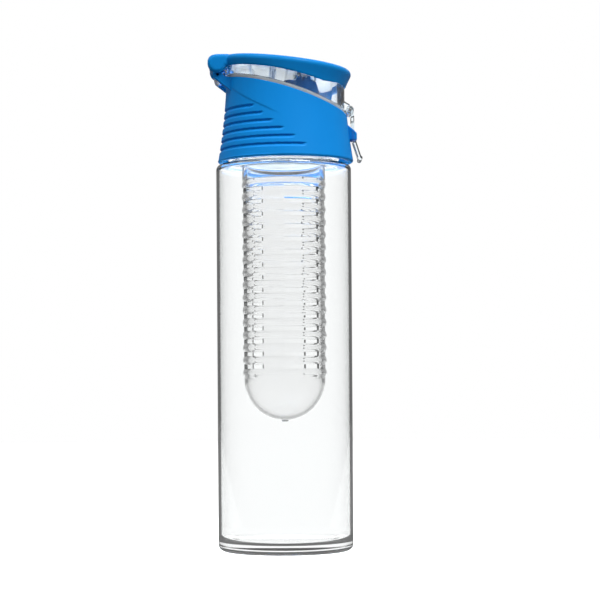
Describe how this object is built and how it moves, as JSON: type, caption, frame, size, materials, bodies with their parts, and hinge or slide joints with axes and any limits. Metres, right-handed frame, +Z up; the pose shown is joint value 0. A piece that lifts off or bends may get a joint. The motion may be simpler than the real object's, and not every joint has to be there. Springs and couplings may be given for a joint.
{
  "type": "infuser water bottle",
  "caption": "Clear cylindrical drinking bottle with a slotted infuser basket and a screw-on lid with a soft grip sleeve, a spout and a latched flip top.",
  "frame": {"origin": "on the bottle's axis, on the surface that the bottle stands on", "axes": "+Z up along the bottle's axis, +X to the latch at the front of the lid, -X to the flip top's hinge, +Y by the right-hand rule"},
  "size_m": [0.0794, 0.0702, 0.2561],
  "materials": {
    "clear_bottle_plastic": "clear, glossy",
    "clear_basket_plastic": "clear, glossy",
    "clear_lid_plastic": "clear, glossy",
    "white_lid_plastic": "satin",
    "blue_soft_grip": "satin, slightly soft",
    "blue_cover_plastic": "satin",
    "blue_silicone": "matte",
    "clear_silicone": "matte, milky",
    "steel_pin": "ground"
  },
  "bodies": {
    "bottle": {"bottle_body": "clear_bottle_plastic"},
    "basket": {"infuser_basket": "clear_basket_plastic", "flange_gasket": "clear_silicone"},
    "lid_seal": {"lid_gasket": "clear_silicone"},
    "lid": {"screw_collar": "white_lid_plastic", "spout_deck": "clear_lid_plastic", "grip_sleeve": "blue_soft_grip", "hinge_pin": "steel_pin"},
    "flip_top": {"flip_shell": "clear_lid_plastic", "flip_cover": "blue_cover_plastic", "spout_seal": "blue_silicone", "latch_pin": "steel_pin"},
    "latch": {"latch": "clear_lid_plastic"}
  },
  "joints": [
    {"name": "basket_lift", "type": "slide", "parent": "bottle", "child": "basket", "axis": [0, 0, 1], "range_m": [0, 0.17]},
    {"name": "seal_rise", "type": "slide", "parent": "basket", "child": "lid_seal", "axis": [0, 0, 1], "range_m": [0, 0.0064]},
    {"name": "lid_turn", "type": "hinge", "parent": "lid_seal", "child": "lid", "pos_m": [0, 0, 0.21], "axis": [0, 0, 1], "range_deg": [0, 540]},
    {"name": "lid_flip", "type": "hinge", "parent": "lid", "child": "flip_top", "pos_m": [-0.0335, 0, 0.24544], "axis": [0, -1, 0], "range_deg": [0, 140]},
    {"name": "latch_swing", "type": "hinge", "parent": "flip_top", "child": "latch", "pos_m": [0.0344, 0, 0.22776], "axis": [0, -1, 0], "range_deg": [0, 100]}
  ],
  "couplings": [
    {"joint": "seal_rise", "follows": "lid_turn", "m_per_rad": 0.00066845}
  ]
}
